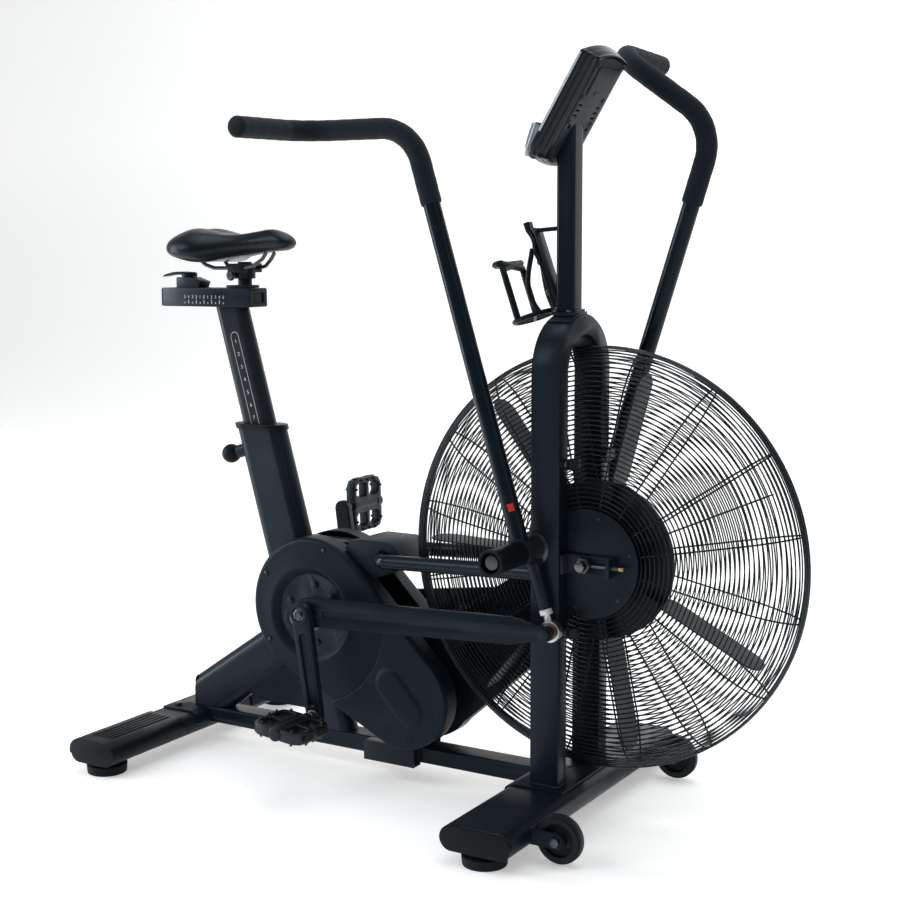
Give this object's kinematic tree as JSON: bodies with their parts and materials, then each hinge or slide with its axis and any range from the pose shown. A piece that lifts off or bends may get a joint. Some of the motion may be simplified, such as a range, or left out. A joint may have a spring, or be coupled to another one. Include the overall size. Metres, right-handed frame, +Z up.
{
  "type": "air bike",
  "caption": "Upright fan exercise bike: pedal cranks and swinging handles drive a caged bladed fan through two belts, with a saddle on a sliding post and a tilted console.",
  "frame": {"origin": "centre of the bounding box's footprint, on the floor", "axes": "+X forwards towards the fan, +Y to the rider's left, +Z up"},
  "size_m": [1.246, 0.6198, 1.2486],
  "materials": {
    "frame": "satin powder coat",
    "cover": "fine grained black",
    "rubber": "matt rubber",
    "zinc": "zinc plated",
    "steel": "turned steel",
    "foam": "closed-cell foam",
    "vinyl": "black vinyl",
    "alu": "dark anodised",
    "blade": "black painted sheet",
    "screen": "dark lens",
    "tray": "satin silver",
    "belt": "ribbed belt",
    "pedalmat": "moulded"
  },
  "bodies": {
    "frame": {"base_beam": "frame", "front_stabilizer": "frame", "rear_stabilizer": "frame", "front_caps": "cover", "rear_boots": "cover", "feet": "rubber", "frame_bolts": "zinc", "arch_frame": "frame", "mast": "frame", "side_rails": "frame", "junction_cover": "cover", "seat_frame": "frame", "seat_collar": "cover", "right_cover": "cover", "access_panel": "cover", "left_cover": "cover", "belt_cover": "cover", "cover_screws": "zinc", "pivot_studs": "steel", "foot_pegs": "cover", "fan_axle": "steel", "axle_brackets": "frame", "cage_right": "frame", "cage_left": "frame", "belts": "belt", "bottle_bracket": "frame", "bottle_cage": "cover", "console_housing": "cover", "console_back": "cover", "console_screen": "screen", "console_tray": "tray"},
    "crank": {"crank_axle": "steel", "drive_pulley": "alu", "crank_web_right": "frame", "crank_web_left": "frame", "crank_arm_right": "frame", "crank_arm_left": "frame"},
    "right_pedal": {"pedal_right": "pedalmat"},
    "left_pedal": {"pedal_left": "pedalmat"},
    "right_link": {"link_right": "frame"},
    "left_link": {"link_left": "frame"},
    "right_handle": {"handle_right": "frame", "grip_right": "foam", "rod_end_right": "zinc"},
    "left_handle": {"handle_left": "frame", "grip_left": "foam", "rod_end_left": "zinc"},
    "jack": {"jackshaft": "steel"},
    "fan": {"fan_wheel": "blade", "fan_pulley": "steel"},
    "seat": {"seat_post": "alu", "seat_rail": "frame"},
    "carriage": {"seat_carriage": "zinc", "saddle_clamp": "alu", "saddle_base": "cover", "saddle": "vinyl"},
    "lever": {"rail_lever": "cover"},
    "height_pin": {"pop_pin": "cover"},
    "right_wheel": {"wheel_right": "rubber"},
    "left_wheel": {"wheel_left": "rubber"}
  },
  "joints": [
    {"name": "crank_spin", "type": "hinge", "parent": "frame", "child": "crank", "pos_m": [-0.256, 0, 0.283], "axis": [0, 1, 0], "continuous": true},
    {"name": "jack_spin", "type": "hinge", "parent": "frame", "child": "jack", "pos_m": [-0.065, 0, 0.157], "axis": [0, 1, 0], "continuous": true},
    {"name": "fan_spin", "type": "hinge", "parent": "frame", "child": "fan", "pos_m": [0.283, 0, 0.428], "axis": [0, 1, 0], "continuous": true},
    {"name": "right_link_swing", "type": "hinge", "parent": "crank", "child": "right_link", "pos_m": [-0.21795, -0.1215, 0.30409], "axis": [0, 1, 0], "continuous": true},
    {"name": "left_link_swing", "type": "hinge", "parent": "crank", "child": "left_link", "pos_m": [-0.29405, 0.1215, 0.26191], "axis": [0, 1, 0], "continuous": true},
    {"name": "right_pedal_spin", "type": "hinge", "parent": "crank", "child": "right_pedal", "pos_m": [-0.19171, -0.206, 0.12779], "axis": [0, 1, 0], "continuous": true},
    {"name": "left_pedal_spin", "type": "hinge", "parent": "crank", "child": "left_pedal", "pos_m": [-0.32029, 0.206, 0.43821], "axis": [0, 1, 0], "continuous": true},
    {"name": "right_handle_swing", "type": "hinge", "parent": "frame", "child": "right_handle", "pos_m": [0.203, -0.118, 0.45], "axis": [0, 1, 0], "range_deg": [-2, 38]},
    {"name": "left_handle_swing", "type": "hinge", "parent": "frame", "child": "left_handle", "pos_m": [0.203, 0.118, 0.45], "axis": [0, 1, 0], "range_deg": [-38, 2]},
    {"name": "seat_post_slide", "type": "slide", "parent": "frame", "child": "seat", "axis": [-0.2689, 0, 0.9632], "range_m": [-0.12, 0.03]},
    {"name": "saddle_slide", "type": "slide", "parent": "seat", "child": "carriage", "axis": [-1, 0, 0], "range_m": [0, 0.055]},
    {"name": "rail_lever_turn", "type": "hinge", "parent": "seat", "child": "lever", "pos_m": [-0.564, 0, 0.876], "axis": [0, 0, 1], "range_deg": [0, 90]},
    {"name": "height_pin_pull", "type": "slide", "parent": "frame", "child": "height_pin", "axis": [-0.9632, 0, -0.2689], "range_m": [0, 0.012], "stiffness_N_per_m": 1500, "springref_m": -0.004},
    {"name": "right_wheel_spin", "type": "hinge", "parent": "frame", "child": "right_wheel", "pos_m": [0.3205, -0.2225, 0.041], "axis": [0, 1, 0], "continuous": true},
    {"name": "left_wheel_spin", "type": "hinge", "parent": "frame", "child": "left_wheel", "pos_m": [0.3205, 0.2225, 0.041], "axis": [0, 1, 0], "continuous": true}
  ],
  "couplings": [
    {"joint": "jack_spin", "follows": "crank_spin", "ratio": 4.0769},
    {"joint": "fan_spin", "follows": "crank_spin", "ratio": 8.0466},
    {"joint": "right_link_swing", "follows": "crank_spin", "ratio": -1},
    {"joint": "left_link_swing", "follows": "crank_spin", "ratio": -1},
    {"joint": "left_handle_swing", "follows": "right_handle_swing", "ratio": -1}
  ]
}
